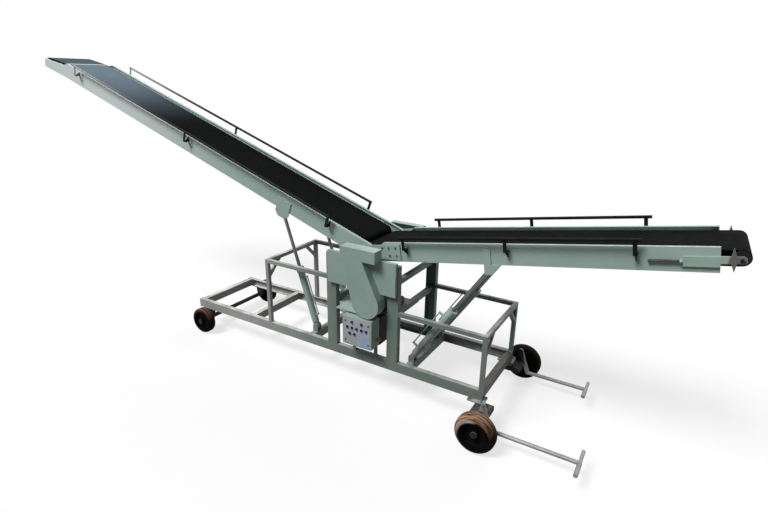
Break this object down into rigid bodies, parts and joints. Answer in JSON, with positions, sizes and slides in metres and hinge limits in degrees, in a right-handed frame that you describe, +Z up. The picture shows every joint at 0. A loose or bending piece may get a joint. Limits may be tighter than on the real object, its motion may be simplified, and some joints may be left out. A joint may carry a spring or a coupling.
{
  "type": "truck loading conveyor",
  "caption": "Wheeled loading conveyor: belt boom and infeed section hinged on a knee, raised by lift cylinders over a chassis with castors and tillers.",
  "frame": {"origin": "centre of the ground under the machine's box", "axes": "+Z up, +X towards the infeed end, -Y the side with the control panel"},
  "size_m": [8.265, 1.54, 3.1236],
  "materials": {
    "green_paint": "pale grey-green paint, worn",
    "black_steel": "black paint",
    "cast_bearing": "cast, painted grey",
    "bare_steel": "bare steel",
    "rod_steel": "chromed rod",
    "panel_grey": "light grey paint",
    "belt_rubber": "matte black belt",
    "wheel_rubber": "solid rubber, dusty"
  },
  "bodies": {
    "chassis": {"chassis_rails": "green_paint", "cross_members": "green_paint", "rear_axle": "black_steel", "mid_posts": "green_paint", "post_beams": "green_paint", "knee_bearings": "cast_bearing", "drive_shaft": "bare_steel", "motor_platform": "green_paint", "gear_motor": "cast_bearing", "guards": "green_paint", "control_panel": "panel_grey", "panel_stand": "green_paint", "panel_buttons": "black_steel", "power_pack": "black_steel", "railing_frames": "green_paint", "railing_bars": "green_paint", "king_heads": "green_paint", "cylinder_clevises": "green_paint"},
    "boom": {"boom_side_rails": "green_paint", "boom_bed": "green_paint", "boom_belt": "belt_rubber", "boom_pulleys": "bare_steel", "boom_guides": "black_steel", "boom_brackets": "green_paint"},
    "infeed": {"infeed_side_rails": "green_paint", "infeed_bed": "green_paint", "infeed_belt": "belt_rubber", "tail_pulley": "bare_steel", "takeups": "green_paint", "infeed_guides": "black_steel", "infeed_plates": "green_paint"},
    "boom_cylinders": {"boom_barrels": "green_paint"},
    "boom_pistons": {"boom_rods": "rod_steel"},
    "infeed_cylinders": {"infeed_barrels": "green_paint"},
    "infeed_pistons": {"infeed_rods": "rod_steel"},
    "castor_near": {"knuckle_near": "green_paint", "tiller_near": "bare_steel"},
    "castor_far": {"knuckle_far": "green_paint", "tiller_far": "bare_steel"},
    "front_wheel_near": {"front_tyre_near": "wheel_rubber", "front_disc_near": "black_steel"},
    "front_wheel_far": {"front_tyre_far": "wheel_rubber", "front_disc_far": "black_steel"},
    "rear_wheel_near": {"rear_wheel_near": "wheel_rubber"},
    "rear_wheel_far": {"rear_wheel_far": "wheel_rubber"}
  },
  "joints": [
    {"name": "boom_lift", "type": "hinge", "parent": "chassis", "child": "boom", "pos_m": [1.13609, 0, 1.44654], "axis": [0, 1, 0], "range_deg": [-22, 7]},
    {"name": "infeed_lift", "type": "hinge", "parent": "chassis", "child": "infeed", "pos_m": [1.13609, 0, 1.44654], "axis": [0, -1, 0], "range_deg": [-17, 4.5]},
    {"name": "boom_barrel_pivot", "type": "hinge", "parent": "chassis", "child": "boom_cylinders", "pos_m": [0.49923, 0, 0.44051], "axis": [0, 1, 0], "range_deg": [-9.08, 3.02]},
    {"name": "boom_rod_slide", "type": "slide", "parent": "boom_cylinders", "child": "boom_pistons", "axis": [-0.3363, 0, 0.9418], "range_m": [-0.3779, 0.123]},
    {"name": "infeed_barrel_pivot", "type": "hinge", "parent": "chassis", "child": "infeed_cylinders", "pos_m": [1.69317, 0, 0.45556], "axis": [0, -1, 0], "range_deg": [-10.3, 2.87]},
    {"name": "infeed_rod_slide", "type": "slide", "parent": "infeed_cylinders", "child": "infeed_pistons", "axis": [0.5366, 0, 0.8438], "range_m": [-0.3103, 0.0851]},
    {"name": "castor_swivel_near", "type": "hinge", "parent": "chassis", "child": "castor_near", "pos_m": [2.45998, -0.4125, 0.27397], "axis": [-0.0201, 0, 0.9998], "range_deg": [-22, 22]},
    {"name": "front_wheel_spin_near", "type": "hinge", "parent": "castor_near", "child": "front_wheel_near", "pos_m": [2.53674, -0.695, 0.1875], "axis": [0, 1, 0], "continuous": true},
    {"name": "rear_wheel_spin_near", "type": "hinge", "parent": "chassis", "child": "rear_wheel_near", "pos_m": [-1.06232, -0.543, 0.154], "axis": [0, 1, 0], "continuous": true},
    {"name": "castor_swivel_far", "type": "hinge", "parent": "chassis", "child": "castor_far", "pos_m": [2.45998, 0.4125, 0.27397], "axis": [-0.0201, 0, 0.9998], "range_deg": [-22, 22]},
    {"name": "front_wheel_spin_far", "type": "hinge", "parent": "castor_far", "child": "front_wheel_far", "pos_m": [2.53674, 0.695, 0.1875], "axis": [0, 1, 0], "continuous": true},
    {"name": "rear_wheel_spin_far", "type": "hinge", "parent": "chassis", "child": "rear_wheel_far", "pos_m": [-1.06232, 0.543, 0.154], "axis": [0, 1, 0], "continuous": true}
  ],
  "couplings": [
    {"joint": "boom_barrel_pivot", "follows": "boom_lift", "ratio": 0.40355},
    {"joint": "boom_rod_slide", "follows": "boom_lift", "m_per_rad": 0.97388},
    {"joint": "infeed_barrel_pivot", "follows": "infeed_lift", "ratio": 0.59411},
    {"joint": "infeed_rod_slide", "follows": "infeed_lift", "m_per_rad": 1.0323}
  ]
}
